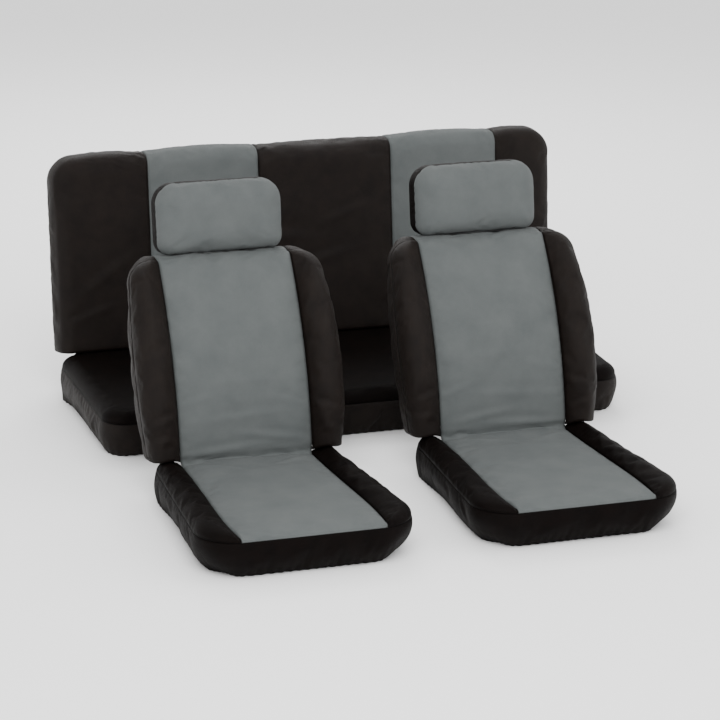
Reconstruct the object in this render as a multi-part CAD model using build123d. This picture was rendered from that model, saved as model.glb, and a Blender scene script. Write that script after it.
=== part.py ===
from build123d import *

import os
from math import cos, radians, sin

# Fabric seat covers for two front bucket seats and a rear bench, in their fitted shape.
# Every cover is a hollow skin of one cloth thickness, cut into its sewn panels.
# It is open where the seat goes in.
# X runs across the seats, Y runs backwards, Z is up, and the seats face -Y.

# Cloth, elastic and webbing, mm
cloth = 4.0  # face fabric with its laminated foam
hem_thickness = 3.0
hem_height = 18.0
hem_lift = 1.0  # elastic hems start this far above the floor, inside the skirt's edge
strap_width = 25.0
strap_thickness = 2.0
strap_lift = 1.0  # straps stay this far above the floor
hook_wire = 3.0
hook_length = 34.0
hook_width = 16.0
seam_drop = 5.0  # skirt seams run this far under the underside of the top panels

# Layout of the set, mm
front_spacing = 660.0  # between the two front seats' centrelines
front_offset = -95.0  # the pair's centreline from the bench's, along X
bench_setback = 800.0  # from the front seats' fold line to the bench's fold line

# Front seat, cushion part, mm and degrees
cushion_rear_half = 226.0
cushion_front_half = 262.0
cushion_depth = 535.0
cushion_corner = 95.0
cushion_strap_places = (-106.0, -350.0)  # behind the front edge, from the fold line
cushion_fold_height = 88.0  # fold line between cushion and back, above the floor
cushion_tilt = 1.6
cushion_bolster_rise = 20.0
cushion_bolster_ramp = 44.0  # from the insert's edge to the bolster's crest
cushion_edge_round = 24.0
insert_half_fold = 162.0  # grey insert's half width at the fold line
insert_half_front = 172.0  # and at the cushion's front edge

# Front seat, back part, mm and degrees
back_lean = 8.0  # lean of the front face at the fold line
back_radius = 900.0  # the front face bulges forwards on this radius
back_depth = 160.0  # depth of the section that the rear plane cuts
back_rear_set = 100.0  # rear panel behind the fold line, at its height
back_rear_lean = 22.8
back_height = 484.0  # fold line to top, square to the top face
back_front_half = 256.0  # at the bolsters' outer edges
back_rear_half = 212.0  # where the section ends at back_depth
back_corner = 58.0
back_bolster_rise = 34.0
back_bolster_ramp = 40.0
back_edge_round = 22.0
back_insert_half = 165.0
back_side_seam = -12.0  # bolster to side panel, measured forwards from the front face
tie_offset = 98.0  # elastic ties across the bottom opening, from the centreline
back_hem_lift = 4.0  # bottom opening's edge above the fold line
back_tip_gap = 6.0  # between the back's and the cushion's bolsters
fold_gap = 0.6  # between back and cushion panels along the fold line
top_tilt = 10.0  # slope of the top face and lean of the head restraint

# Head restraint cover, mm
head_half = 156.0
head_height = 174.0
head_thickness = 98.0
head_round = 34.0
head_corner = 50.0
head_seam_set = 0.0  # front to rear panel, behind the middle of its thickness
head_mouth_rim = 22.0  # elastic rim left round the mouth in the underside
head_hem_height = 10.0
head_gap = 1.0  # above the back's top face
head_front_set = 2.0  # its front face stands this far behind the top edge of the back's front face

# Rear bench, mm and degrees
bench_half = 690.0
bench_depth = 482.0
bench_height = 118.0
bench_corner = 60.0
bench_strap_places = (-72.0, -336.0)
bench_insert_inner = 184.0
bench_insert_outer = 484.0
bench_strip_shift = 45.0  # the strips' middle from the bench's, along X
bench_back_height = 506.0
bench_back_thickness = 108.0
bench_back_lean = 8.0
bench_back_corner = 62.0
bench_back_lift = 6.0  # hinge line above the cushion's top
bench_round = 26.0

reach = 2000.0  # size of the tool solids that cut the panels apart


def slab(x_low, x_high, y_low, y_high, z_low, z_high):
    """Box between two corners."""
    size = (x_high - x_low, y_high - y_low, z_high - z_low)
    middle = ((x_low + x_high) / 2, (y_low + y_high) / 2, (z_low + z_high) / 2)
    return Pos(*middle) * Box(*size)


def solids_of(shape):
    """The shape's solids as one compound, without loose faces."""
    return Compound(children=list(shape.solids()))


def mirrored(face_points):
    """A closed face from the right-hand half of its outline, top centre to bottom centre."""
    left = [(-x, y) for x, y in reversed(face_points)]
    return make_face(Polyline(*face_points, *left, close=True))


# ---------------------------------------------------------------- front seat, cushion part


def cushion_outline():
    """Plan of the cushion: wider at the front, with rounded front corners."""
    corners = [
        (cushion_rear_half, 0),
        (cushion_front_half, -cushion_depth),
        (-cushion_front_half, -cushion_depth),
        (-cushion_rear_half, 0),
    ]
    plan = make_face(Polyline(*corners, close=True))
    return fillet(plan.vertices().sort_by(Axis.Y)[:2], cushion_corner)


def cushion_plane():
    """Section plane through the fold line, square to the tilted top."""
    tilt = radians(cushion_tilt)
    return Plane(
        origin=(0, 0, cushion_fold_height), x_dir=(1, 0, 0), z_dir=(0, -cos(tilt), sin(tilt))
    )


def cushion_section():
    """Cross-section of the cushion, from the insert over the bolster to below the floor."""
    crest = insert_half_front + cushion_bolster_ramp
    half = [
        (insert_half_front, 0),
        (crest, cushion_bolster_rise),
        (cushion_front_half, cushion_bolster_rise),
        (cushion_front_half, -2 * cushion_fold_height),
    ]
    face = mirrored(half)
    outer = [v for v in face.vertices() if v.Y > 1 and abs(v.X) > cushion_front_half - 1]
    return fillet(outer, cushion_edge_round)


def cushion_form(inset):
    """Solid inside the cushion cover's outer face moved inwards by inset."""
    section = cushion_section()
    plan = cushion_outline()
    if inset:
        section = offset(section, -inset, kind=Kind.INTERSECTION)
        # The rear stays open, so the inner plan runs on through it.
        through = Pos(0, inset) * Rectangle(2 * (cushion_rear_half - inset), 2 * inset)
        plan = offset(plan, -inset, kind=Kind.INTERSECTION) + through
    placed = cushion_plane() * section
    bar = extrude(placed, reach / 2) + extrude(placed, -2 * inset - 1)
    return bar & extrude(plan, reach / 2)


def insert_wedge():
    """Tool: the tapering strip that the grey insert is cut from."""
    behind = cushion_depth * 0.1
    slope = (insert_half_front - insert_half_fold) / cushion_depth
    near = insert_half_fold - slope * behind
    far = insert_half_front + slope * behind
    ahead = -cushion_depth - behind
    corners = [(near, behind), (far, ahead), (-far, ahead), (-near, behind)]
    return extrude(make_face(Polyline(*corners, close=True)), reach / 2)


def below_seam():
    """Tool: everything under the seam that joins the skirt to the top panels."""
    plate = Rectangle(reach, reach, align=(Align.CENTER, Align.MAX))
    tool = extrude(cushion_plane() * (Pos(0, -cloth - seam_drop) * plate), reach)
    return tool + extrude(cushion_plane() * (Pos(0, -cloth - seam_drop) * plate), -reach)


def cushion_parts():
    """Sewn panels and fastenings of one front cushion cover."""
    ahead = slab(-reach, reach, -reach, 0, -reach, reach)
    inner = cushion_form(cloth) & ahead
    skin = (cushion_form(0) & ahead) - inner
    skirt = skin & below_seam()
    top = skin - below_seam()
    insert = top & insert_wedge()
    sides = top - insert_wedge()
    room = cushion_form(cloth + hem_thickness) & ahead
    hem = (inner - room) & slab(-reach, reach, -reach, reach, hem_lift, hem_height)
    straps, hooks = cross_straps(room, cushion_strap_places)
    return {
        "cushion_insert": insert,
        "cushion_bolster_left": sides & slab(-reach, 0, -reach, reach, -reach, reach),
        "cushion_bolster_right": sides & slab(0, reach, -reach, reach, -reach, reach),
        "cushion_skirt": skirt,
        "cushion_hem": hem,
        "cushion_straps": straps,
        "cushion_hooks": hooks,
    }


def wire_hook(x, y, z):
    """Flat wire hook, lying along X: two rounded ends joined by straight runs."""
    centreline = RectangleRounded(hook_length, hook_width, hook_width / 2 - 0.5).wire()
    section = Plane(origin=(0, hook_width / 2, 0), z_dir=(1, 0, 0)) * Circle(hook_wire / 2)
    return Pos(x, y, z) * sweep(section, centreline)


def cross_straps(room, places):
    """Webbing straps across the open underside, each fastened by a wire hook at its right end."""
    straps, hooks = [], []
    low = strap_lift
    for y in places:
        band = room & slab(
            -reach, reach, y - strap_width / 2, y + strap_width / 2, low, low + strap_thickness
        )
        end = band.bounding_box().max.X
        hook_x = end - 1.5 * hook_length
        hook = wire_hook(hook_x, y, low + hook_wire / 2)
        around = slab(hook_x - hook_length / 2, hook_x + hook_length / 2, -reach, reach, 0, reach)
        straps += list((band - around - hook).solids())
        hooks.append(hook)
    return Compound(children=straps), Compound(children=hooks)


# ---------------------------------------------------------------- front seat, back part


def back_axis():
    """Line that the back's curve turns about, behind the seat."""
    lean = radians(back_lean)
    return Axis(
        (0, back_radius * cos(lean), cushion_fold_height - back_radius * sin(lean)), (-1, 0, 0)
    )


def back_sweep(section):
    """Turns a section, drawn as (across, forwards from the front face), along the back's curve."""
    hub = back_axis().position
    plane = Plane(origin=(0, hub.Y - back_radius, hub.Z), x_dir=(-1, 0, 0), z_dir=(0, 0, 1))
    quarter = 89  # just under a quarter turn, so the sweep ends ahead of the axis
    return revolve(plane * section, back_axis(), quarter)


def back_section():
    """Cross-section of the back, with a bolster each side of the insert."""
    crest = back_insert_half + back_bolster_ramp
    half = [
        (back_insert_half, 0),
        (crest, back_bolster_rise),
        (back_front_half, back_bolster_rise),
        (back_rear_half, -back_depth),
    ]
    face = mirrored(half)
    outer = [v for v in face.vertices() if v.Y > 1 and abs(v.X) > back_front_half - 1]
    return fillet(outer, back_edge_round)


def back_plane():
    """Plane that the top face's outline is drawn in, through the fold line."""
    tilt = radians(top_tilt)
    return Plane(
        origin=(0, 0, cushion_fold_height), x_dir=(1, 0, 0), z_dir=(0, -cos(tilt), sin(tilt))
    )


def back_outline(inset):
    """Front view of the back, with rounded shoulders."""
    half = back_front_half + 1 - inset
    shape = Rectangle(2 * half, 2 * (back_height - inset))
    return fillet(shape.vertices().sort_by(Axis.Y)[-2:], back_corner - inset)


def behind_back(inset):
    """Tool: everything behind the rear panel's outer face moved forwards by inset."""
    lean = radians(back_rear_lean)
    normal = Vector(0, cos(lean), -sin(lean))
    origin = Vector(0, back_rear_set, cushion_fold_height) - normal * inset
    return extrude(Plane(origin=origin, x_dir=(1, 0, 0), z_dir=normal) * Rectangle(reach, reach), reach)


def back_form(inset):
    """Solid inside the back cover's outer face moved inwards by inset."""
    section = back_section()
    if inset:
        section = offset(section, -inset, kind=Kind.INTERSECTION)
    outline = back_plane() * back_outline(inset)
    block = extrude(outline, reach / 2) + extrude(outline, -reach / 2)
    return (back_sweep(section) & block) - behind_back(inset)


def back_shell_zone(low, high):
    """Tool: the layer between two distances forwards of the back's front face."""
    return back_sweep(Pos(0, (low + high) / 2) * Rectangle(reach / 2, high - low))


def back_opening():
    """Tool: what is cut off below the back cover's open lower edge, stepped over the cushion's bolsters."""
    fold = cushion_fold_height
    under = slab(-reach, reach, -reach, reach, -reach, fold + fold_gap)
    tips = slab(-reach, reach, -reach, 0, -reach, fold + cushion_bolster_rise + back_tip_gap)
    middle = slab(-insert_half_fold, insert_half_fold, -reach, reach, -reach, reach)
    hem_edge = slab(-reach, reach, -reach, reach, -reach, fold + back_hem_lift)
    return under + (tips - middle) + (hem_edge - middle)


def back_parts():
    """Sewn panels and fastenings of one front back cover."""
    skin = back_form(0) - back_form(cloth) - back_opening()
    rear_zone = behind_back(cloth)
    side_zone = back_shell_zone(-back_depth - cloth, back_side_seam)
    centre = slab(-back_insert_half, back_insert_half, -reach, reach, -reach, reach)
    rear = skin & rear_zone
    around = skin - rear_zone
    insert = around & centre
    flanks = around - centre
    sides = flanks & side_zone
    bolsters = flanks - side_zone
    left = slab(-reach, 0, -reach, reach, -reach, reach)
    hem = back_hem()
    return {
        "back_insert": insert,
        "back_bolster_left": bolsters & left,
        "back_bolster_right": bolsters - left,
        "back_side_left": sides & left,
        "back_side_right": sides - left,
        "back_rear": rear,
        "back_hem": hem,
        "back_ties": back_ties(hem),
    }


def back_hem():
    """Elastic band inside the open lower edge, round both sides and the rear."""
    low = cushion_fold_height + back_hem_lift
    band = back_form(cloth) - back_form(cloth + hem_thickness)
    band &= slab(-reach, reach, -reach, reach, low, low + hem_height)
    return band & back_shell_zone(-back_depth, back_side_seam)


def back_ties(hem):
    """Two elastic ties across the open bottom, from the insert's lower edge to the rear hem."""
    low = cushion_fold_height + back_hem_lift
    room = back_form(cloth)
    ties = []
    for x in (-tie_offset, tie_offset):
        zone = slab(x - strap_width / 2, x + strap_width / 2, 0, reach, low, low + strap_thickness)
        ties += list((room & zone - hem).solids())
    return Compound(children=ties)


# ---------------------------------------------------------------- head restraint cover


def head_plane():
    """Head restraint cover's own plane: origin at the middle of its bottom, local Z up its lean."""
    tilt = radians(top_tilt)
    hub = back_axis().position
    # The front face's top edge lies on the back's curve, at the height of the top face.
    drop = back_height + cushion_fold_height * cos(tilt) - (hub.Y * sin(tilt) + hub.Z * cos(tilt))
    forward = (back_radius**2 - drop**2) ** 0.5
    edge_y = hub.Y + drop * sin(tilt) - forward * cos(tilt)
    edge_z = hub.Z + drop * cos(tilt) + forward * sin(tilt)
    back_step = head_front_set + head_thickness / 2
    origin = (
        0,
        edge_y + back_step * cos(tilt) + head_gap * sin(tilt),
        edge_z - back_step * sin(tilt) + head_gap * cos(tilt),
    )
    return Plane(origin=origin, x_dir=(1, 0, 0), z_dir=(0, sin(tilt), cos(tilt)))


def head_form(inset):
    """Rounded block inside the head restraint cover's outer face moved inwards by inset."""
    low = Align.MIN
    front = Plane.XZ * fillet(
        Rectangle(2 * (head_half - inset), head_height - 2 * inset, align=(Align.CENTER, low)).vertices(),
        head_corner - inset,
    )
    block = extrude(front, head_thickness / 2 - inset, both=True)
    rims = block.edges().group_by(Axis.Y)
    return Pos(0, 0, inset) * fillet(rims[0] + rims[-1], head_round - inset)


def head_parts():
    """Front, rear and elastic mouth of one head restraint cover."""
    place = head_plane()
    mouth_half_x = head_half - head_mouth_rim
    mouth_half_y = head_thickness / 2 - head_mouth_rim
    mouth = slab(-mouth_half_x, mouth_half_x, -mouth_half_y, mouth_half_y, -1, head_height / 2)
    skin = head_form(0) - head_form(cloth) - mouth
    ahead = slab(-reach, reach, -reach, head_seam_set, -1, reach)
    rim = slab(-reach, reach, -reach, reach, -1, head_hem_height)
    return {
        "head_front": place * ((skin - rim) & ahead),
        "head_rear": place * (skin - rim - ahead),
        "head_hem": place * (skin & rim),
    }


# ---------------------------------------------------------------- rear bench


def bench_strips():
    """Tools: the five strips across the bench, from left to right."""
    seams = [-bench_insert_outer, -bench_insert_inner, bench_insert_inner, bench_insert_outer]
    edges = [-reach, *(seam + bench_strip_shift for seam in seams), reach]
    names = ["outer_left", "insert_left", "middle", "insert_right", "outer_right"]
    return {
        name: slab(low, high, -reach, reach, -reach, reach)
        for name, low, high in zip(names, edges[:-1], edges[1:])
    }


def bench_cushion_form(inset):
    """Solid inside the bench cushion cover's outer face moved inwards by inset."""
    plan = Rectangle(2 * (bench_half - inset), bench_depth - inset, align=(Align.CENTER, Align.MAX))
    plan = fillet(plan.vertices().sort_by(Axis.Y)[:2], bench_corner - inset)
    height = bench_height - inset
    block = extrude(plan, height)
    top = block.faces().sort_by(Axis.Z)[-1]
    rim = [edge for edge in top.edges() if edge.center().Y < -1]
    block = fillet(rim, bench_round - inset)
    if inset:
        behind = block.faces().sort_by(Axis.Y)[-1]
        block += extrude(behind, inset, dir=(0, 1, 0))
    return block


def bench_cushion_parts():
    """Sewn panels and fastenings of the bench cushion cover."""
    inner = bench_cushion_form(cloth)
    skin = bench_cushion_form(0) - inner
    seam = bench_height - bench_round - seam_drop
    skirt = skin & slab(-reach, reach, -reach, reach, 0, seam)
    top = skin - slab(-reach, reach, -reach, reach, 0, seam)
    room = bench_cushion_form(cloth + hem_thickness)
    hem = (inner - room) & slab(-reach, reach, -bench_depth, 0, hem_lift, hem_height)
    straps, hooks = cross_straps(room, bench_strap_places)
    parts = {f"bench_cushion_{name}": top & strip for name, strip in bench_strips().items()}
    parts["bench_cushion_skirt"] = skirt
    parts["bench_cushion_hem"] = hem
    parts["bench_cushion_straps"] = straps
    parts["bench_cushion_hooks"] = hooks
    return parts


def bench_back_form(inset):
    """Solid inside the bench back cover's outer face moved inwards by inset, upright at its hinge line."""
    front = Rectangle(2 * (bench_half - inset), bench_back_height - inset, align=(Align.CENTER, Align.MIN))
    front = fillet(front.vertices().sort_by(Axis.Y)[-2:], bench_back_corner - inset)
    deep = bench_back_thickness - 2 * inset
    block = Pos(0, inset, 0) * extrude(Plane.XZ * front, -deep)
    ends = block.edges().group_by(Axis.Y)
    rims = [edge for edge in ends[0] + ends[-1] if edge.center().Z > 1]
    block = fillet(rims, bench_round - inset)
    if inset:
        under = block.faces().sort_by(Axis.Z)[0]
        block += extrude(under, inset, dir=(0, 0, -1))
    return block


def bench_back_parts():
    """Sewn panels and fastenings of the bench back cover, leaning back about its hinge line."""
    inner = bench_back_form(cloth)
    skin = bench_back_form(0) - inner
    split = bench_back_thickness - bench_round
    rear = skin & slab(-reach, reach, split, reach, -reach, reach)
    around = skin - slab(-reach, reach, split, reach, -reach, reach)
    hem_zone = slab(-reach, reach, -reach, reach, 0, hem_height)
    room = bench_back_form(cloth + hem_thickness)
    parts = {f"bench_back_{name}": around & strip for name, strip in bench_strips().items()}
    parts["bench_back_rear"] = rear
    parts["bench_back_hem"] = (inner - room) & hem_zone
    ties = []
    for x in (-bench_insert_outer, -bench_insert_inner, bench_insert_inner, bench_insert_outer):
        zone = slab(x - strap_width / 2, x + strap_width / 2, 0, reach, 0, strap_thickness)
        ties += list((room & zone).solids())
    parts["bench_back_ties"] = Compound(children=ties)
    lift = Pos(0, 0, bench_height + bench_back_lift) * Rot(X=-bench_back_lean)
    return {name: lift * shape for name, shape in parts.items()}


# ---------------------------------------------------------------- the set


def whole_set():
    """All covers in place, centred over the origin on the floor, and the shift along Y that centred them."""
    front = {**cushion_parts(), **back_parts(), **head_parts()}
    placed = {}
    for side, x in (("left", front_offset - front_spacing / 2), ("right", front_offset + front_spacing / 2)):
        for name, shape in front.items():
            placed[f"front_{side}_{name}"] = Pos(x, 0, 0) * shape
    for name, shape in {**bench_cushion_parts(), **bench_back_parts()}.items():
        placed[name] = Pos(0, bench_setback, 0) * shape
    boxes = [shape.bounding_box() for shape in placed.values()]
    middle = (min(box.min.Y for box in boxes) + max(box.max.Y for box in boxes)) / 2
    return {name: Pos(0, -middle, 0) * solids_of(shape) for name, shape in placed.items()}, -middle


def main():
    """Builds the set and writes one STEP file for each node."""
    os.makedirs("parts", exist_ok=True)
    nodes, shift = whole_set()
    for name, shape in nodes.items():
        export_step(shape, f"parts/{name}.step")
    print("set shifted along Y by", round(shift, 3), "mm")


if __name__ == "__main__":
    main()
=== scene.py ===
import math

import bmesh
import bpy
import numpy as np
from mathutils import Matrix, Vector


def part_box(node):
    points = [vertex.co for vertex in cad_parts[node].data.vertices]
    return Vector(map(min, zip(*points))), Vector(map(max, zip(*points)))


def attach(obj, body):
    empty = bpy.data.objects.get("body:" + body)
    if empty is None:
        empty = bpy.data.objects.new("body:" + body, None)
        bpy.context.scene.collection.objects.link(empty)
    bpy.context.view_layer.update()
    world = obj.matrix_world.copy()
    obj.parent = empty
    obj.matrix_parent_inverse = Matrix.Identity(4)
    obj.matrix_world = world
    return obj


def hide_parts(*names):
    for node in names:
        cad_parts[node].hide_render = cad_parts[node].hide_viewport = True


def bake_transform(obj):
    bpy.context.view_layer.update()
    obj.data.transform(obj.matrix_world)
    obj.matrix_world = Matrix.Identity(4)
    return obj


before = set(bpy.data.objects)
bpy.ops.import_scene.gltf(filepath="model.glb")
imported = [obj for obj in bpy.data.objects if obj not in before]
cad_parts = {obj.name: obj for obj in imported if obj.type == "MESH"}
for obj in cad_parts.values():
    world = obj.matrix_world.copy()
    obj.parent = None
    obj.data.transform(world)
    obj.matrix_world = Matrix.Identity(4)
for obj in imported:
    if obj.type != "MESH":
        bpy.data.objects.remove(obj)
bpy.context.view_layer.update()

# ---- shared numbers, metres and degrees
cloth = {"thickness": 0.0025, "simFrames": 16, "simCap": 0.0045, "freeHold": 0.55}
foldLine = {"front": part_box("front_left_cushion_insert")[1][1], "bench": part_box("bench_cushion_middle")[1][1]}
seatMiddle = {side: (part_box(f"front_{side}_cushion_insert")[0][0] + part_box(f"front_{side}_cushion_insert")[1][0]) / 2
              for side in ("left", "right")}
print("frame loaded, front seats at x", {side: round(x, 4) for side, x in seatMiddle.items()})


def ease(t):
    # goes from 0 to 1 with no slope at either end
    t = np.clip(t, 0, 1)
    return t * t * (3 - 2 * t)


def quarterRound(distance, radius):
    # height of a quarter ellipse over the distance from its foot, from 0 to 1
    t = np.clip(distance / radius, 0, 1)
    return np.sqrt(np.clip(1 - (1 - t) ** 2, 0, 1))


def cornerDepth(side, top, radius):
    # distance inwards from two edges that meet in a rounded corner
    plain = np.minimum(side, top)
    a, b = np.clip(radius - side, 0, None), np.clip(radius - top, 0, None)
    inCorner = (side < radius) & (top < radius)
    return np.where(inCorner, radius - np.hypot(a, b), plain)


def spaced(low, high, count, ends="both"):
    # values from low to high, closer together at the named ends
    t = np.linspace(0, 1, count)
    if ends == "both":
        t = (1 - np.cos(np.pi * t)) / 2 * 0.6 + t * 0.4
    elif ends == "high":
        t = np.sin(np.pi / 2 * t) * 0.7 + t * 0.3
    elif ends == "low":
        t = (1 - np.cos(np.pi / 2 * t)) * 0.7 + t * 0.3
    return low + (high - low) * t


def alongPath(points, count=None, values=None):
    # the path's points taken again at even steps of its length
    points = np.asarray(points, float)
    run = runningLength(points)
    at = np.linspace(0, run[-1], count) if values is None else np.asarray(values) * run[-1]
    return np.stack([np.interp(at, run, points[:, k]) for k in range(points.shape[1])], -1)


def stacked(*parts):
    # a grid or path of points from its coordinates, each stretched to the shape they share
    return np.stack(np.broadcast_arrays(*parts), -1)


def runningLength(points):
    return np.concatenate([[0], np.cumsum(np.linalg.norm(np.diff(points, axis=0), axis=1))])


def bothSides(path):
    # a path that ends on the middle line, carried on by its mirror image
    mirror = path.copy()
    mirror[:, 0] *= -1
    return np.concatenate([path, mirror[::-1][1:]])


def standing(ring, outwards, out, height):
    # a ribbon that stands on a path in plan, each row moved outwards and set at its height
    return stacked(ring[:, 0] + outwards[:, 0] * out, ring[:, 1] + outwards[:, 1] * out, height)


def outwardsOf(path, middle):
    # unit vectors square to a path in plan, away from its middle
    step = np.gradient(path, axis=0)
    outwards = stacked(-step[:, 1], step[:, 0])
    outwards /= np.linalg.norm(outwards, axis=1, keepdims=True)
    return outwards * np.sign(np.sum(outwards * (path - middle)))


def quadBend(start, corner, end, count):
    # a parabola that leaves start and reaches end, pulled towards the corner
    t = np.linspace(0, 1, count)[:, None]
    return (1 - t) ** 2 * np.array(start) + 2 * t * (1 - t) * np.array(corner) + t ** 2 * np.array(end)


def unevenness(a, b, size, seed):
    # a slow random-looking swell: the sum of six fixed waves in two directions, about -1 to 1
    rng = np.random.default_rng(seed)
    total = 0
    for k in range(6):
        turn, phase = rng.uniform(0, 2 * np.pi, 2)
        wave = 2 * np.pi / (size * rng.uniform(0.6, 1.6))
        total = total + np.sin((a * np.cos(turn) + b * np.sin(turn)) * wave + phase)
    return total / 3.2


def folds(a, b, creases):
    # soft ridges: each is a bell across its line and fades out along it
    total = np.zeros(np.broadcast(a, b).shape)
    for ca, cb, turn, length, width, height in creases:
        c, s = math.cos(math.radians(turn)), math.sin(math.radians(turn))
        along, across = (a - ca) * c + (b - cb) * s, -(a - ca) * s + (b - cb) * c
        bell = np.exp(-(across / width) ** 2) - 0.55 * np.exp(-((across - 1.6 * width) / (1.3 * width)) ** 2)
        total = total + height * bell * np.exp(-(along / length) ** 2)
    return total


def surfaceNormals(points):
    # cross product of the grid's two directions at each point, made unit length
    du = np.gradient(points, axis=1)
    dv = np.gradient(points, axis=0)
    normal = np.cross(du, dv)
    return normal / np.maximum(np.linalg.norm(normal, axis=-1, keepdims=True), 1e-9)


def pushed(points, distance, inside):
    # moves a grid's points along its normals, away from a point inside
    normal = surfaceNormals(points)
    away = np.sum(normal * (points - np.asarray(inside)), axis=-1).sum()
    return points + normal * (np.sign(away) * distance)[..., None]


def cutSize(points):
    # the panel's flat width and length, as its longest row and column, and its area
    rows = np.linalg.norm(np.diff(points, axis=1), axis=-1).sum(1)
    columns = np.linalg.norm(np.diff(points, axis=0), axis=-1).sum(0)
    a = points[1:, 1:] - points[:-1, :-1]
    b = points[1:, :-1] - points[:-1, 1:]
    area = np.linalg.norm(np.cross(a, b), axis=-1).sum() / 2
    return float(rows.max()), float(columns.max()), float(area)


allSheets = []


def sewnPanel(name, points, inside, material, free=(), thickness=None, seams=("left", "right", "top", "bottom"),
              lining=None, slack=0.0, pressure=0.0, bend=0.6, cap=cloth["simCap"]):
    # a cloth panel from a grid of points; its borders are sewn, except the free ones
    points = np.asarray(points, float)
    rows, columns = points.shape[:2]
    index = np.arange(rows * columns).reshape(rows, columns)
    quads = stacked(index[:-1, :-1], index[:-1, 1:], index[1:, 1:], index[1:, :-1]).reshape(-1, 4)
    a, b = points[1:, 1:] - points[:-1, :-1], points[1:, :-1] - points[:-1, 1:]
    middles = (points[1:, 1:] + points[:-1, :-1] + points[1:, :-1] + points[:-1, 1:]) / 4
    outward = np.sum(np.cross(a, b) * (middles - np.asarray(inside)))
    if outward < 0:
        quads = quads[:, ::-1]
    # cloth coordinates: the running length across and along, in metres
    across = np.concatenate([np.zeros((rows, 1)), np.linalg.norm(np.diff(points, axis=1), axis=-1)], 1).cumsum(1)
    along = np.concatenate([np.zeros((1, columns)), np.linalg.norm(np.diff(points, axis=0), axis=-1)], 0).cumsum(0)
    across = across - across[:, -1:] / 2
    uv = stacked(across, along).reshape(-1, 2)
    # how near each point is to a sewn border
    near = np.full((rows, columns), 1.0)
    gaps = {"left": across - across[:, :1], "right": across[:, -1:] - across,
            "bottom": along - along[:1], "top": along[-1:] - along}
    for side in seams:
        near = np.minimum(near, gaps[side])
    pinned = np.zeros((rows, columns))
    pinned[:, 0] = pinned[:, -1] = 1
    pinned[0, :] = pinned[-1, :] = 1
    for side in free:
        part = {"left": np.s_[1:-1, 0], "right": np.s_[1:-1, -1], "bottom": np.s_[0, 1:-1], "top": np.s_[-1, 1:-1]}
        pinned[part[side]] = cloth["freeHold"]

    mesh = bpy.data.meshes.new(name)
    mesh.from_pydata(points.reshape(-1, 3).tolist(), [], quads.tolist())
    mesh.uv_layers.new(name="cloth").data.foreach_set("uv", uv[quads].reshape(-1))
    mesh.attributes.new("seamGap", "FLOAT", "POINT").data.foreach_set("value", near.reshape(-1))
    mesh.attributes.new("seamRun", "FLOAT", "POINT").data.foreach_set("value", (across + along).reshape(-1))
    piece = bpy.data.objects.new(name, mesh)
    bpy.context.scene.collection.objects.link(piece)
    group = piece.vertex_groups.new(name="sewn")
    for weight in np.unique(pinned):
        group.add(np.flatnonzero(pinned.reshape(-1) == weight).tolist(), float(weight), "REPLACE")
    tidy = bmesh.new()
    tidy.from_mesh(mesh)
    bmesh.ops.remove_doubles(tidy, verts=tidy.verts, dist=0.00008)
    bmesh.ops.dissolve_degenerate(tidy, edges=tidy.edges, dist=0.00002)
    tidy.to_mesh(mesh)
    tidy.free()
    mesh.shade_smooth()
    piece.data.materials.append(material)
    if lining is not None:
        piece.data.materials.append(lining)
    if slack or pressure:
        settle(piece, slack, pressure, bend, cap)
    wall = piece.modifiers.new("clothWall", "SOLIDIFY")
    wall.thickness = cloth["thickness"] if thickness is None else thickness
    wall.offset = -1
    wall.use_even_offset = False
    if lining is not None:
        wall.material_offset = 1
        wall.material_offset_rim = 0
    width, length, area = cutSize(points)
    allSheets.append((piece, max(width, 0.011), max(length, 0.011), area))
    return piece


def assigned(piece, body, node):
    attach(piece, body)
    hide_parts(node)


def settle(piece, slack, pressure, bend, cap):
    # cloth simulation: the sewn borders hold, slack lets the panel pucker, and pressure fills it
    mesh = piece.data
    count = len(mesh.vertices)
    rest = np.empty(count * 3)
    mesh.vertices.foreach_get("co", rest)
    rest = rest.reshape(-1, 3)
    solver = piece.modifiers.new("settle", "CLOTH")
    solver.settings.quality = 5
    solver.settings.mass = 0.12
    solver.settings.tension_stiffness = 18
    solver.settings.compression_stiffness = 14
    solver.settings.shear_stiffness = 6
    solver.settings.bending_stiffness = bend
    solver.settings.air_damping = 3
    solver.settings.vertex_group_mass = "sewn"
    solver.settings.pin_stiffness = 1
    solver.settings.shrink_min = -slack
    solver.settings.effector_weights.gravity = 0
    solver.settings.use_pressure = pressure != 0
    solver.settings.uniform_pressure_force = pressure
    solver.collision_settings.use_collision = False
    solver.point_cache.frame_start = 1
    solver.point_cache.frame_end = cloth["simFrames"]
    for step in range(1, cloth["simFrames"] + 1):
        bpy.context.scene.frame_set(step)
    shown = piece.evaluated_get(bpy.context.evaluated_depsgraph_get())
    moved = np.empty(count * 3)
    shown.data.vertices.foreach_get("co", moved)
    piece.modifiers.remove(solver)
    shift = moved.reshape(-1, 3) - rest
    size = np.maximum(np.linalg.norm(shift, axis=1, keepdims=True), 1e-9)
    shift *= cap * np.tanh(size / cap) / size
    mesh.vertices.foreach_set("co", (rest + np.nan_to_num(shift)).reshape(-1))
    mesh.update()
    bpy.context.scene.frame_set(1)


# ---- materials
def nodeGroup(name, inputs, outputs):
    group = bpy.data.node_groups.new(name, "ShaderNodeTree")
    number = "NodeSocketFloat"
    for label, value in inputs:
        group.interface.new_socket(label, in_out="INPUT", socket_type=number).default_value = value
    for label in outputs:
        group.interface.new_socket(label, in_out="OUTPUT", socket_type=number)
    return group, group.nodes.new("NodeGroupInput"), group.nodes.new("NodeGroupOutput")


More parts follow.
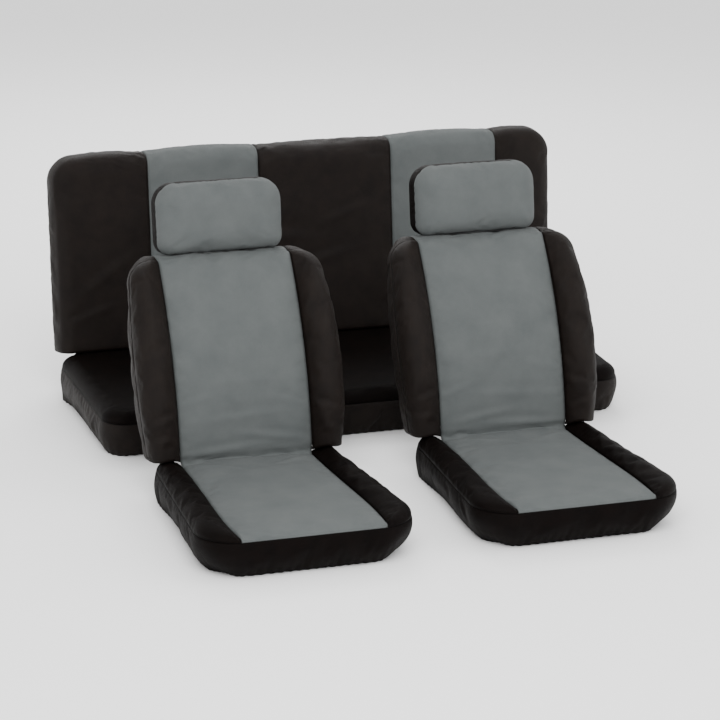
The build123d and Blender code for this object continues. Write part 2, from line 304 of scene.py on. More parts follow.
def wired(tree, kind, inputs=(), **settings):
    # adds a node, sets its properties, and links or sets its inputs
    node = tree.nodes.new(kind)
    for key, value in settings.items():
        setattr(node, key, value)
    for key, value in inputs:
        if isinstance(value, bpy.types.NodeSocket):
            tree.links.new(value, node.inputs[key])
        else:
            node.inputs[key].default_value = value
    return node


def maths(tree, operation, *values, **settings):
    return wired(tree, "ShaderNodeMath", enumerate(values), operation=operation, **settings).outputs[0]


def mixed(tree, amount, low, high):
    # blends two colours, each a fixed colour or a socket
    node = wired(tree, "ShaderNodeMix", data_type="RGBA")
    for key, value in ((0, amount), (6, low), (7, high)):
        if isinstance(value, bpy.types.NodeSocket):
            tree.links.new(value, node.inputs[key])
        else:
            node.inputs[key].default_value = (*value, 1)
    return node.outputs[2]


def shaderOf(name, **constants):
    # a new material with constants on its shader; spaces in socket names are written as underscores
    material = bpy.data.materials.new(name)
    material.use_nodes = True
    shader = material.node_tree.nodes["Principled BSDF"]
    for key, value in constants.items():
        shader.inputs[key.replace("_", " ")].default_value = value
    return material, material.node_tree, shader


def finished(material, tree, shader, base, height, strength, distance):
    bump = wired(tree, "ShaderNodeBump", [("Height", height), ("Strength", strength), ("Distance", distance)])
    tree.links.new(base, shader.inputs["Base Color"])
    tree.links.new(bump.outputs[0], shader.inputs["Normal"])
    return material


def weaveGroup():
    # knit: two crossing waves on the cloth's own coordinates, with slow and fine mottling
    group, given, result = nodeGroup("knitWeave", [("Stitches per metre", 500.0), ("Mottle size", 20.0)],
                                     ["Height", "Mottle", "Fleck"])
    uv = wired(group, "ShaderNodeUVMap", uv_map="cloth").outputs[0]
    split = wired(group, "ShaderNodeSeparateXYZ", [(0, uv)])
    waves = []
    for axis in (0, 1):
        angle = maths(group, "MULTIPLY", split.outputs[axis], given.outputs[0])
        waves.append(maths(group, "SINE", maths(group, "MULTIPLY", angle, fullTurn)))
    cross = maths(group, "MULTIPLY", *waves)
    place = wired(group, "ShaderNodeTexCoord").outputs["Object"]
    slow = wired(group, "ShaderNodeTexNoise", [("Vector", place), ("Scale", given.outputs[1]),
                                               ("Detail", 5.0), ("Roughness", 0.6)])
    fleck = wired(group, "ShaderNodeTexNoise", [("Vector", place), ("Scale", 420.0), ("Detail", 2.0)])
    height = maths(group, "MULTIPLY_ADD", fleck.outputs[0], 0.6, cross)
    for label, socket in (("Height", height), ("Mottle", slow.outputs[0]), ("Fleck", fleck.outputs[0])):
        group.links.new(socket, result.inputs[label])
    return group


def seamGroup():
    # near a sewn border: a painted shade line, a dip, and a row of short stitches beside it
    group, given, result = nodeGroup("sewnEdge", [("Line width", 0.0016), ("Stitch row", 0.0055)],
                                     ["Line", "Stitch", "Dip"])
    gap = wired(group, "ShaderNodeAttribute", attribute_name="seamGap").outputs["Fac"]
    run = wired(group, "ShaderNodeAttribute", attribute_name="seamRun").outputs["Fac"]
    # painted shade line: full at the border, fading out over the line width
    line = maths(group, "SUBTRACT", 1.0, maths(group, "DIVIDE", gap, given.outputs[0]), use_clamp=True)
    off = maths(group, "ABSOLUTE", maths(group, "SUBTRACT", gap, given.outputs[1]))
    beat = maths(group, "SINE", maths(group, "MULTIPLY", run, fullTurn / 0.0045))
    stitch = maths(group, "MULTIPLY", maths(group, "LESS_THAN", off, 0.0007), maths(group, "GREATER_THAN", beat, -0.35))
    dip = wired(group, "ShaderNodeMapRange", [(0, gap), (1, 0.0), (2, 0.006), (3, 0.0), (4, 1.0)],
                interpolation_type="SMOOTHSTEP")
    for label, socket in (("Line", line), ("Stitch", stitch), ("Dip", dip.outputs[0])):
        group.links.new(socket, result.inputs[label])
    return group


fullTurn = 6.2832
knitWeave = weaveGroup()
sewnEdge = seamGroup()


def fabric(name, low, high, seam, roughness, sheen, stitches, grain, mottle, stitchDepth,
           gloss=0.3, sheenTint=(1, 1, 1, 1)):
    # face fabric: mottled between two colours, with a painted shade line and stitches at sewn borders
    material, tree, shader = shaderOf(name, Roughness=roughness, Sheen_Weight=sheen, Sheen_Roughness=0.45,
                                      Sheen_Tint=sheenTint, Specular_IOR_Level=gloss)
    weave = wired(tree, "ShaderNodeGroup", node_tree=knitWeave)
    weave.inputs[0].default_value, weave.inputs[1].default_value = stitches, mottle
    edge = wired(tree, "ShaderNodeGroup", node_tree=sewnEdge)
    tone = maths(tree, "MULTIPLY_ADD", weave.outputs["Fleck"], 0.35, weave.outputs["Mottle"])
    spread = wired(tree, "ShaderNodeMapRange", [(0, tone), (1, 0.45), (2, 0.95), (3, 0.0), (4, 1.0)])
    base = mixed(tree, spread.outputs[0], low, high)
    fade = maths(tree, "MULTIPLY", edge.outputs["Stitch"], stitchDepth)
    base = mixed(tree, fade, base, [c * 0.6 for c in low])
    # painted shade: the seam colour covers the strip beside each sewn border, where the groove's shadow falls
    base = mixed(tree, edge.outputs["Line"], base, seam)
    deep = maths(tree, "MULTIPLY_ADD", edge.outputs["Dip"], 4.0, weave.outputs["Height"])
    deep = maths(tree, "MULTIPLY_ADD", edge.outputs["Stitch"], -1.5, deep)
    return finished(material, tree, shader, base, deep, grain, 0.0006)


# the third colour of each fabric is the painted shade in its seam lines
greyFabric = fabric("greyKnit", (0.066, 0.073, 0.073), (0.083, 0.09, 0.089), (0.012, 0.012, 0.011), 0.85, 0.02,
                    420, 0.35, 16, 0.4, gloss=0.2)
warmSheen = (1.0, 0.84, 0.72, 1)
blackFabric = fabric("blackKnit", (0.0034, 0.0019, 0.0014), (0.0078, 0.005, 0.0037), (0.0008, 0.0006, 0.0005),
                     0.56, 0.005, 420, 0.4, 22, 0.3, gloss=0.11, sheenTint=warmSheen)
# the black knit again, darker and less glossy: painted shade for the cushions, their skirts and the head restraints'
# rears
blackShadedCopy = fabric("blackKnitPaintedShade", (0.0009, 0.0003, 0.0002), (0.0026, 0.0012, 0.0008), (0.0004, 0.0002, 0.0002),
                   0.6, 0.002, 420, 0.4, 22, 0.3, gloss=0.05, sheenTint=warmSheen)
liningFabric = fabric("foamLining", (0.03, 0.029, 0.028), (0.05, 0.048, 0.046), (0.02, 0.02, 0.02), 0.95, 0.05,
                      700, 0.5, 40, 0.0)


def bandMaterial(name, low, high, ribs, roughness, grain):
    # elastic or webbing: ribs that run along the band, over a finer cross weave
    material, tree, shader = shaderOf(name, Roughness=roughness)
    uv = wired(tree, "ShaderNodeUVMap", uv_map="cloth").outputs[0]
    split = wired(tree, "ShaderNodeSeparateXYZ", [(0, uv)])
    heights = [maths(tree, "SINE", maths(tree, "MULTIPLY", split.outputs[axis], count * fullTurn))
               for axis, count in ((0, ribs), (1, ribs * 2.2))]
    both = maths(tree, "MULTIPLY_ADD", heights[1], 0.4, heights[0])
    spread = wired(tree, "ShaderNodeMapRange", [(0, both), (1, -1.4), (2, 1.4), (3, 0.0), (4, 1.0)])
    return finished(material, tree, shader, mixed(tree, spread.outputs[0], low, high), both, grain, 0.0005)


elasticBand = bandMaterial("ribbedElastic", (0.008, 0.008, 0.008), (0.028, 0.027, 0.026), 450, 0.7, 0.7)
strapWebbing = bandMaterial("wovenWebbing", (0.007, 0.007, 0.007), (0.022, 0.021, 0.02), 380, 0.6, 0.9)


def hookWireMaterial():
    # drawn steel: fine scratches in the roughness and a faint dull tone in places
    material, tree, shader = shaderOf("drawnWire", Metallic=1.0)
    place = wired(tree, "ShaderNodeTexCoord").outputs["Object"]
    wear = wired(tree, "ShaderNodeTexNoise", [("Vector", place), ("Scale", 300.0), ("Detail", 4.0)])
    base = mixed(tree, wear.outputs[0], (0.32, 0.32, 0.33), (0.62, 0.62, 0.63))
    tree.links.new(base, shader.inputs["Base Color"])
    rough = wired(tree, "ShaderNodeMapRange", [(0, wear.outputs[0]), (1, 0.3), (2, 0.7), (3, 0.28), (4, 0.5)])
    tree.links.new(rough.outputs[0], shader.inputs["Roughness"])
    return material


hookWire = hookWireMaterial()
print("materials ready")

def band(name, points, inside, thickness, body, node):
    piece = sewnPanel(name, points, inside, elasticBand, seams=(), thickness=thickness)
    assigned(piece, body, node)


# ---- front seat: cushion cover
cushion = {
    "depth": 0.535, "rearHalf": 0.226, "frontHalf": 0.262, "corner": 0.095,
    "foldHeight": 0.088, "tilt": 1.6, "seamDrop": 0.009,
    "insertRear": 0.162, "insertFront": 0.172, "insertBow": 0.007, "crest": 0.021, "rearCrest": 0.017, "flap": 0.024,
    "skirtTuck": 0.03, "skirtSideTuck": 0.022, "cornerTuck": 0.02, "ruffle": 0.0016, "hemHeight": 0.018,
}


def cushionHalf(y):
    # outer half width, growing evenly from the fold line to the front
    return cushion["rearHalf"] + (cushion["frontHalf"] - cushion["rearHalf"]) * (-y) / cushion["depth"]


def insertHalf(y):
    # widens to the front, bows out over the last third and comes in again at the front corners
    t = np.clip(-y / cushion["depth"], 0, 1)
    straight = cushion["insertRear"] + (cushion["insertFront"] - cushion["insertRear"]) * t
    return straight + cushion["insertBow"] * np.sin(np.pi * t ** 2.2)


def cushionPlane(y):
    return cushion["foldHeight"] + math.tan(math.radians(cushion["tilt"])) * (-y)


def cushionCorner():
    # centre of the rounded front corner, and the direction of the slanting side
    side = np.array([cushion["frontHalf"] - cushion["rearHalf"], -cushion["depth"]])
    side = side / np.linalg.norm(side)
    y = -cushion["depth"] + cushion["corner"]
    x = cushion["rearHalf"] - (cushion["corner"] + side[0] * y) / -side[1]
    return np.array([x, y]), math.atan2(side[0], -side[1])


def cushionGap(x, y):
    # distance inwards from the cover's outline: from the nearer edge, or from the corner's arc
    centre, slant = cushionCorner()
    acrossC, alongC = np.abs(x) - centre[0], y - centre[1]
    inCorner = (acrossC > 0) & (acrossC * math.sin(slant) - alongC * math.cos(slant) > 0)
    plain = np.minimum((cushionHalf(y) - np.abs(x)) * math.cos(slant), y + cushion["depth"])
    return np.where(inCorner, cushion["corner"] - np.hypot(acrossC, alongC), plain)


def cushionTop(x, y):
    # plane, bolster crest and rounded edge; the insert's edge is rounded tightly and the bolster's widely
    beside = np.abs(x) - insertHalf(y)
    bolster = ease(beside / 0.045)
    edge = quarterRound(cushionGap(x, y), 0.013 + 0.027 * bolster)
    crest = cushion["rearCrest"] + (cushion["crest"] - cushion["rearCrest"]) * ease((-y - 0.02) / 0.08)
    rise = crest * (1 - (1 - np.clip(beside / 0.046, 0, 1)) ** 2) ** 0.9
    tuck = 0.0022 * np.exp(-(beside / 0.005) ** 2)
    wave = 0.0012 * unevenness(x, y, 0.16, 3) * ease(np.abs(beside) / 0.03)
    return cushionPlane(y) - cushion["seamDrop"] + (cushion["seamDrop"] + rise - tuck + wave) * edge


def tuckedFlap(edge, length, drop, middle):
    # the panel's rear edge runs on behind the fold line and drops, narrowing towards its middle line
    t = np.linspace(1, 0, 7)[:-1, None]
    rows = edge[None] + stacked(0 * t, t * length, -drop * t ** 1.6)
    rows[..., 0] += (middle - rows[..., 0]) * 0.05 * t
    return rows


# creases of the skirt: along it, down from its seam, turn, length, width, height
skirtCreases = [(0.62, 0.045, 62, 0.03, 0.007, 0.0022), (0.88, 0.04, -60, 0.03, 0.008, 0.002),
                (0.36, 0.04, 66, 0.03, 0.008, 0.0022), (1.1, 0.05, -50, 0.035, 0.008, 0.0018)]


def hemmed(grid, outwards):
    # adds a skirt's turned-in lower edge
    under = grid[-1] + np.concatenate([-outwards * 0.007, np.full((len(outwards), 1), 0.0015)], 1)
    return np.concatenate([grid, (grid[-1:] + under[None]) / 2 - (0, 0, 0.0004), under[None]])


def frontSeat(side):
    x0, y0 = seatMiddle[side], foldLine["front"]
    seed = {"left": 11, "right": 47}[side]
    here = np.array([x0, y0, 0.0])
    name = f"front_{side}_"
    inCushion = here + (0, -0.28, 0.03)

    # cushion bolsters: rows run from the insert's edge out to the outline and close up round the front corner
    centre, slant = cushionCorner()
    straight = np.linspace(0, 1, 64)
    turn = np.linspace(slant, -math.acos((cushion["insertFront"] - centre[0]) / cushion["corner"]), 27)[1:]
    touch = centre + cushion["corner"] * np.array([math.cos(slant), math.sin(slant)])
    outerY = np.concatenate([touch[1] * straight, centre[1] + cushion["corner"] * np.sin(turn)])
    outerX = np.concatenate([cushionHalf(touch[1] * straight), centre[0] + cushion["corner"] * np.cos(turn)])
    last = len(turn)
    innerY = np.concatenate([touch[1] * straight, np.linspace(touch[1], outerY[-1], last + 1)[1:]])
    outerX[-1] = insertHalf(outerY[-1])
    innerX = insertHalf(innerY)
    u = spaced(0, 1, 24, "high")[None, :]
    gx = innerX[:, None] + (outerX - innerX)[:, None] * u
    gy = innerY[:, None] + (outerY - innerY)[:, None] * u
    for hand, flip in (("left", -1), ("right", 1)):
        gz = cushionTop(gx, gy) + 0.001 * unevenness(gx * flip, gy, 0.09, seed + flip) * np.sin(np.pi * u) ** 0.5
        grid = stacked(gx * flip, gy, gz) + here
        grid = np.concatenate([tuckedFlap(grid[0], cushion["flap"], 0.016, x0), grid])
        piece = sewnPanel(f"{name}cushionBolster_{hand}", grid, inCushion, blackShadedCopy, seams=("left", "right"),
                          lining=liningFabric, slack=0.012, pressure=1.5)
        assigned(piece, f"front_{side}_seat", f"{name}cushion_bolster_{hand}")

    # skirt: a ribbon down from the seam, full below it and drawn in at the floor by the elastic
    across = stacked(np.linspace(outerX[-1], 0, 18)[1:], -cushion["depth"])
    ring = bothSides(alongPath(np.concatenate([stacked(outerX, outerY), across]), 110))
    outwards = outwardsOf(ring, (0, -0.25))
    run = runningLength(ring)
    t = np.linspace(0, 1, 20)[:, None]
    frontness = ease((-ring[:, 1] - 0.28) / 0.22)
    rearHold = 1 - 0.8 * ease((ring[:, 1] + 0.2) / 0.2)
    tuck = (cushion["skirtSideTuck"] + (cushion["skirtTuck"] - cushion["skirtSideTuck"]) * frontness) * rearHold
    fromCorner = (np.abs(ring[:, 0]) - cushion["frontHalf"] + 0.03, ring[:, 1] + cushion["depth"] - 0.03)
    atCorner = np.exp(-(fromCorner[0] / 0.05) ** 2 - (fromCorner[1] / 0.06) ** 2)
    tuck = tuck + cushion["cornerTuck"] * atCorner
    gather = np.sin(2 * np.pi * run / 0.021 + 1.4 * np.sin(run / 0.05 + seed)) * cushion["ruffle"]
    swell = 0.0016 * unevenness(run, t * 0.09, 0.11, seed + 5)
    creases = folds(run, t * 0.08, skirtCreases)
    out = (0.004 * np.sin(np.pi * t ** 0.8) - tuck * t ** 2.1 + gather * ease((t - 0.35) / 0.6)
           + (swell + creases) * np.sin(np.pi * t))
    seamHeight = cushionPlane(ring[:, 1]) - cushion["seamDrop"]
    grid = hemmed(standing(ring, outwards, out, seamHeight * (1 - t) + 0.0006 * t), outwards) + here
    piece = sewnPanel(f"{name}cushionSkirt", grid, inCushion, blackShadedCopy, free=("left", "right"), seams=("bottom",),
                      lining=liningFabric, slack=0.01, pressure=1.0)
    assigned(piece, f"front_{side}_seat", f"{name}cushion_skirt")

    # elastic inside the skirt's lower edge, gathered like the skirt
    t = np.linspace(0, 1, 5)[:, None]
    deep = 1 - t * cushion["hemHeight"] / 0.085
    inset = -tuck * deep ** 2.1 + gather * ease((deep - 0.35) / 0.6) - 0.0075
    grid = standing(ring, outwards, inset, 0.002 + t * cushion["hemHeight"])[:, 3:-3] + here
    band(f"{name}cushionHem", grid, inCushion, 0.0014, f"front_{side}_seat", f"{name}cushion_hem")

    backCover(side, x0, y0, seed)
    headCover(side, x0, y0, seed)
    print("front seat", side, "covered")


# ---- front seat: back cover
back = {
    "radius": 0.9, "lean": 8.0, "topTurn": 40.2, "axisY": 0.8912, "axisZ": -0.0373,
    "half": 0.256, "narrowing": 0.0175, "widest": 0.22, "corner": 0.06, "insertHalf": 0.165,
    "crest": 0.035, "sideSeam": 0.012, "rearSet": 0.1, "rearLean": 22.8, "rearNarrow": 0.725,
    "topTilt": 10.0, "bottom": 0.092, "bolsterBottom": 0.1115,
    "innerDip": 0.0158, "outerDip": 0.0065, "crown": 0.005, "sideBulge": 0.007,
}
backTall = back["radius"] * math.radians(back["topTurn"] - back["lean"])


def backHalf(h):
    # half width of the front view: widest at the waist
    return back["half"] - back["narrowing"] * ((h - back["widest"]) / 0.24) ** 2


def backGap(x, h):
    # distance inwards from the front view's outline: from the nearer edge, or from the shoulder's arc
    tall = backTall - back["corner"]
    wide = backHalf(tall) - back["corner"]
    inCorner = (np.abs(x) > wide) & (h > tall)
    plain = np.minimum(backHalf(h) - np.abs(x), backTall - h)
    return np.where(inCorner, back["corner"] - np.hypot(np.abs(x) - wide, h - tall), plain)


def backForward(x, h):
    # how far the skin stands forwards of the back's arc
    beside = np.abs(x) - back["insertHalf"]
    crest = back["crest"] * (1 - 0.5 * ease((h - 0.36) / 0.15)) * (0.9 + 0.1 * ease(h / 0.1))
    edge = quarterRound(backGap(x, h), 0.016 + 0.032 * ease(beside / 0.045))
    rise = crest * (1 - (1 - np.clip(beside / 0.05, 0, 1)) ** 2) ** 0.95
    tuck = 0.0025 * np.exp(-(beside / 0.005) ** 2)
    return -back["sideSeam"] + (back["sideSeam"] + rise - tuck) * edge


def backPoint(x, h, forward):
    # turns (across, height along the arc, forwards) into a place, with the lower edge just over the cushion's bolsters
    radius = back["radius"] + forward
    beside = np.clip((np.abs(x) - back["insertHalf"]) / 0.04, 0, 1)
    dip = back["innerDip"] * (1 - beside) ** 2 + back["outerDip"] * ease((np.abs(x) - 0.19) / 0.05)
    lowest = np.arcsin((back["bolsterBottom"] - dip - back["axisZ"]) / radius)
    top, lean = math.radians(back["topTurn"]), math.radians(back["lean"])
    angle = top - (top - lean - h / back["radius"]) * (top - lowest) / (top - lean)
    return stacked(x, back["axisY"] - radius * np.cos(angle), back["axisZ"] + radius * np.sin(angle))


def backRing():
    # the front view's outline, right half, from the bottom up the side and round the shoulder to the insert
    tall = backTall - back["corner"]
    h = np.linspace(0, tall, 60)
    side = stacked(backHalf(h), h)
    wide = backHalf(tall) - back["corner"]
    turn = np.linspace(0, np.pi / 2, 25)[1:]
    corner = stacked(wide + back["corner"] * np.cos(turn), tall + back["corner"] * np.sin(turn))
    end = np.array([[back["insertHalf"], backTall]])
    ring = np.concatenate([side, corner, end]) if wide > back["insertHalf"] + 0.002 else np.concatenate([side, corner])
    ring[-1] = (back["insertHalf"], backTall)
    onCorner = np.concatenate([np.zeros(60), ease(turn / (np.pi / 2))])
    onCorner = np.concatenate([onCorner, [1.0]]) if len(ring) > len(onCorner) else onCorner
    return ring, onCorner


def rearPoint(front, x, onTop):
    # follows a panel rearwards from the front seam until it meets the rear plane
    hub = np.array([back["axisY"], back["axisZ"]])
    inward = hub - front[..., 1:]
    inward /= np.linalg.norm(inward, axis=-1, keepdims=True)
    tilt = math.radians(back["topTilt"])
    onTop = np.asarray(onTop)[..., None]
    way = inward * (1 - onTop) + np.array([math.cos(tilt), -math.sin(tilt)]) * onTop
    way /= np.linalg.norm(way, axis=-1, keepdims=True)
    slope = math.tan(math.radians(back["rearLean"]))
    ahead = back["rearSet"] + (front[..., 2] - cushion["foldHeight"]) * slope - front[..., 1]
    reach = ahead / (way[..., 0] - slope * way[..., 1])
    beside = np.clip(np.abs(x) - back["insertHalf"], 0, None)
    rearX = back["insertHalf"] + beside * back["rearNarrow"]
    return stacked(rearX, front[..., 1] + reach * way[..., 0], front[..., 2] + reach * way[..., 1])


def ribbonBetween(start, end, columns, bulge, inside):
    # rows from one seam to the other, standing out between them in a flat arch
    t = np.linspace(0, 1, columns)[None, :, None]
    grid = start[:, None] * (1 - t) + end[:, None] * t
    arch = (bulge * (1 - (2 * t[..., 0] - 1) ** 2) ** 0.75)
    return pushed(grid, arch + np.zeros(grid.shape[:2]), inside)


def backCover(side, x0, y0, seed):
    here = np.array([x0, y0, 0.0])
    name = f"front_{side}_"
    body = f"front_{side}_back"
    inBack = np.array([0, 0.14, 0.33])
    ring, onCorner = backRing()
    inner = stacked(back["insertHalf"], ring[:, 1])
    u = spaced(0, 1, 26, "high")[None, :]
    gx = inner[:, :1] + (ring[:, :1] - inner[:, :1]) * u
    gh = inner[:, 1:] + (ring[:, 1:] - inner[:, 1:]) * u
    seamFront = backPoint(ring[:, 0], ring[:, 1], np.full(len(ring), -back["sideSeam"]))
    seamRear = rearPoint(seamFront, ring[:, 0], onCorner)
    for hand, flip in (("left", -1), ("right", 1)):
        mirror = np.array([flip, 1, 1])
        forward = backForward(gx, gh)
        uneven = 0.0014 * unevenness(gx * flip, gh, 0.13, seed + 2 * flip) + folds(
            gx, gh, [(0.212, 0.05, 8, 0.05, 0.007, 0.002), (0.2, 0.1, -14, 0.05, 0.008, 0.0016)])
        forward = forward + uneven * np.sin(np.pi * np.clip(u, 0.02, 0.98)) ** 0.6
        grid = backPoint(gx, gh, forward)
        # turned-in lower edge
        under = grid[0] + (0, 0.008, 0.004)
        grid = np.concatenate([under[None], ((under + grid[0]) / 2 - (0, 0, 0.003))[None], grid]) * mirror
        piece = sewnPanel(f"{name}backBolster_{hand}", grid + here, inBack + here, blackFabric, seams=("left", "right"),
                          lining=liningFabric, slack=0.012, pressure=1.5)
        assigned(piece, body, f"{name}back_bolster_{hand}")
        grid = ribbonBetween(seamFront, seamRear, 18, back["sideBulge"], inBack)
        along = ring[:, 1][:, None]
        deep = np.linspace(0, 1, 18)[None, :]
        uneven = 0.001 * unevenness(along, deep * 0.09, 0.12, seed + 9 + flip)
        grid = pushed(grid, uneven * np.sin(np.pi * deep), inBack)
        piece = sewnPanel(f"{name}backSide_{hand}", grid * mirror + here, inBack + here, blackFabric,
                          seams=("left", "right"), lining=liningFabric, slack=0.01, pressure=1.0)
        assigned(piece, body, f"{name}back_side_{hand}")

    # rear panel: rows across between the two rear seams
    u = np.linspace(-1, 1, 70)[None, :, None]
    level = seamRear[:, None] * np.array([1, 1, 1])
    grid = np.concatenate([level[..., :1] * u, np.broadcast_to(level[..., 1:], (len(ring), 70, 2))], -1)
    flat = u[..., 0]
    tall = (ring[:, 1] / backTall)[:, None]
    bulge = 0.006 * (1 - flat ** 2) * np.sin(np.pi * np.clip(tall, 0, 1)) ** 0.5 + 0.0016 * unevenness(
        grid[..., 0], grid[..., 2], 0.2, seed + 21) * (1 - flat ** 4) * np.sin(np.pi * tall) ** 0.5
    grid = pushed(grid, bulge, inBack)
    piece = sewnPanel(f"{name}backRear", grid + here, inBack + here, blackFabric, free=("bottom",),
                      seams=("left", "right", "top"), lining=liningFabric, slack=0.008, pressure=1.0, bend=1.2)
    assigned(piece, body, f"{name}back_rear")

    # elastic inside the lower edge, round both sides and the rear
    lowSide = ribbonBetween(seamFront[:2], seamRear[:2], 18, back["sideBulge"], inBack)[0]
    rearRun = np.tile(seamRear[0], (29, 1))
    rearRun[:, 0] = np.linspace(seamRear[0, 0], 0, 30)[1:]
    path = np.concatenate([lowSide, rearRun])
    path = bothSides(path)
    outwards = outwardsOf(path[:, :2], (0, 0.03))
    run = runningLength(path)
    t = np.linspace(0, 1, 5)[:, None]
    inset = -0.0055 - 0.0008 * np.sin(2 * np.pi * run / 0.012) - 0.001 * t
    grid = standing(path, outwards, inset, path[:, 2] + 0.001 + t * 0.018)
    grid[..., 1] += t * 0.004
    band(f"{name}backHem", grid + here, inBack + here, 0.0012, body, f"{name}back_hem")

    # two elastic ties across the open bottom, with a slight sag
    lanes = []
    for x in (-0.098, 0.098):
        t = np.linspace(0, 1, 24)[:, None]
        across = np.linspace(-0.0125, 0.0125, 7)[None, :]
        y = 0.006 + (seamRear[0, 1] - 0.014) * t
        z = back["bottom"] + 0.001 - 0.003 * np.sin(np.pi * t)
        lanes.append(stacked(x + across, y, z))
    for grid, hand in zip(lanes, ("left", "right")):
        band(f"{name}backTie_{hand}", grid + here, inBack + here, 0.0014, body, f"{name}back_ties")

    # grey insert, cushion and back in one: from the front seam over the cushion, through the fold and over the top
    middleLine = insertPath()
    columns = 58
    u = np.linspace(-1, 1, columns)[None, :]
    y, z, half, crown = (middleLine[:, k][:, None] for k in range(4))
    x = half * u
    grid = stacked(x, y, z)
    run = runningLength(middleLine[:, :2])[:, None]
    foldAt = float(run[np.argmin(np.abs(middleLine[:, 0]) + np.abs(middleLine[:, 1] - cushion["foldHeight"])), 0])
    puff = crown * (1 - u ** 2) ** 0.8
    edgeTuck = -0.0022 * np.exp(-((1 - np.abs(u)) * half / 0.005) ** 2) * ease(crown / 0.004)
    waves = 0.0011 * unevenness(x, run, 0.14, seed + 30) * (1 - u ** 6)
    bight = folds(x, run - foldAt, insertCreases[side]) * (1 - u ** 6)
    grid = pushed(grid, puff + edgeTuck + (waves + bight) * ease(crown / 0.004), (0, -0.1, -0.2))
    piece = sewnPanel(f"{name}insert", grid + here, (x0, y0 + 0.1, -0.1), greyFabric, lining=liningFabric,
                      slack=0.012, pressure=1.2)
    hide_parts(f"{name}cushion_insert", f"{name}back_insert")
    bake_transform(piece)


# creases near the fold and on the lower back: across, along from the fold, turn, length, width, height
insertCreases = {
    "left": [(-0.06, 0.03, 4, 0.09, 0.007, 0.0030), (0.07, 0.052, -9, 0.08, 0.008, 0.0026),
             (0.1, -0.05, 24, 0.06, 0.009, 0.0028), (-0.1, -0.045, -28, 0.06, 0.009, 0.0026),
             (0.0, 0.105, 3, 0.11, 0.01, 0.0016), (0.12, 0.13, -16, 0.05, 0.008, 0.0018),
             (-0.12, 0.15, 18, 0.05, 0.009, 0.0016), (0.04, -0.1, 8, 0.09, 0.011, 0.0014),
             (0.0, 0.19, -2, 0.1, 0.012, 0.0009)],
    "right": [(0.05, 0.028, -3, 0.09, 0.007, 0.0030), (-0.07, 0.05, 8, 0.08, 0.008, 0.0026),
              (0.11, -0.055, 30, 0.06, 0.009, 0.0028), (-0.09, -0.04, -22, 0.07, 0.009, 0.0028),
              (0.02, 0.1, -4, 0.1, 0.01, 0.0016), (-0.12, 0.12, 20, 0.05, 0.008, 0.0018),
              (0.12, 0.16, -15, 0.05, 0.009, 0.0015), (-0.03, -0.11, -10, 0.09, 0.011, 0.0013),
              (0.0, 0.2, 3, 0.1, 0.012, 0.0009)],
}


def insertPath():
    # side view of the insert's middle: front edge, cushion, fold, back arc, top edge and top, with half width and crown
    depth = cushion["depth"]
    rise = spaced(0, 0.013, 9, "low")
    drop = cushion["seamDrop"] * (1 - quarterRound(rise, 0.013))
    front = stacked(-depth + rise, cushionPlane(-depth + rise) - drop)
    y = np.linspace(-depth + 0.013, -0.02, 84)[1:]
    seat = stacked(y, cushionPlane(y))

    def onArc(h, forward=0.0):
        angle = math.radians(back["lean"]) + np.asarray(h) / back["radius"]
        radius = back["radius"] + forward
        return stacked(back["axisY"] - radius * np.cos(angle), back["axisZ"] + radius * np.sin(angle))
    bend = quadBend(seat[-1], (0.008, cushion["foldHeight"] - 0.006), onArc(0.022), 14)[1:]
    h = np.linspace(0.022, backTall - 0.016, 84)[1:]
    arc = onArc(h)
    drop = 0.016 - spaced(0, 0.016, 10, "high")[1:]
    edge = onArc(backTall - drop, -back["sideSeam"] * (1 - quarterRound(drop, 0.016)))
    front3 = np.array([[back["insertHalf"], *edge[-1]]])
    rear = rearPoint(front3, np.array([back["insertHalf"]]), np.array([1.0]))[0, 1:]
    t = np.linspace(0, 1, 18)[1:, None]
    normal = np.array([math.sin(math.radians(back["topTilt"])), math.cos(math.radians(back["topTilt"]))])
    top = edge[-1] * (1 - t) + rear * t + normal * back["sideBulge"] * (1 - (2 * t - 1) ** 2) ** 0.75
    line = np.concatenate([front, seat, bend, arc, edge, top])
    counts = [len(front), len(seat), len(bend), len(arc), len(edge), len(top)]
    half = np.concatenate([insertHalf(front[:, 0]), insertHalf(seat[:, 0]),
                           np.linspace(cushion["insertRear"], back["insertHalf"], counts[2]),
                           np.full(sum(counts[3:]), back["insertHalf"])])
    run = runningLength(line)
    crown = back["crown"] * ease(run / 0.04) * ease((run[-1] - run) / 0.09)
    return stacked(line[:, 0], line[:, 1], half, crown)


# ---- front seat: head restraint cover
head = {
    "half": 0.156, "tall": 0.174, "thick": 0.098, "corner": 0.052, "lowCorner": 0.034, "seamSet": -0.014, "edge": 0.036,
    "crown": 0.006, "gap": 0.001, "frontSet": 0.002, "mouthRim": 0.024,
}


def headPlace():
    # where the middle of the head restraint's bottom sits, and the way up it leans
    tilt = math.radians(back["topTilt"])
    angle = math.radians(back["topTurn"])
    edge = np.array([back["axisY"], back["axisZ"]]) + back["radius"] * np.array([-math.cos(angle), math.sin(angle)])
    step = head["frontSet"] + head["thick"] / 2
    c, s = math.cos(tilt), math.sin(tilt)
    origin = edge + step * np.array([c, -s]) + head["gap"] * np.array([s, c])
    return origin, tilt


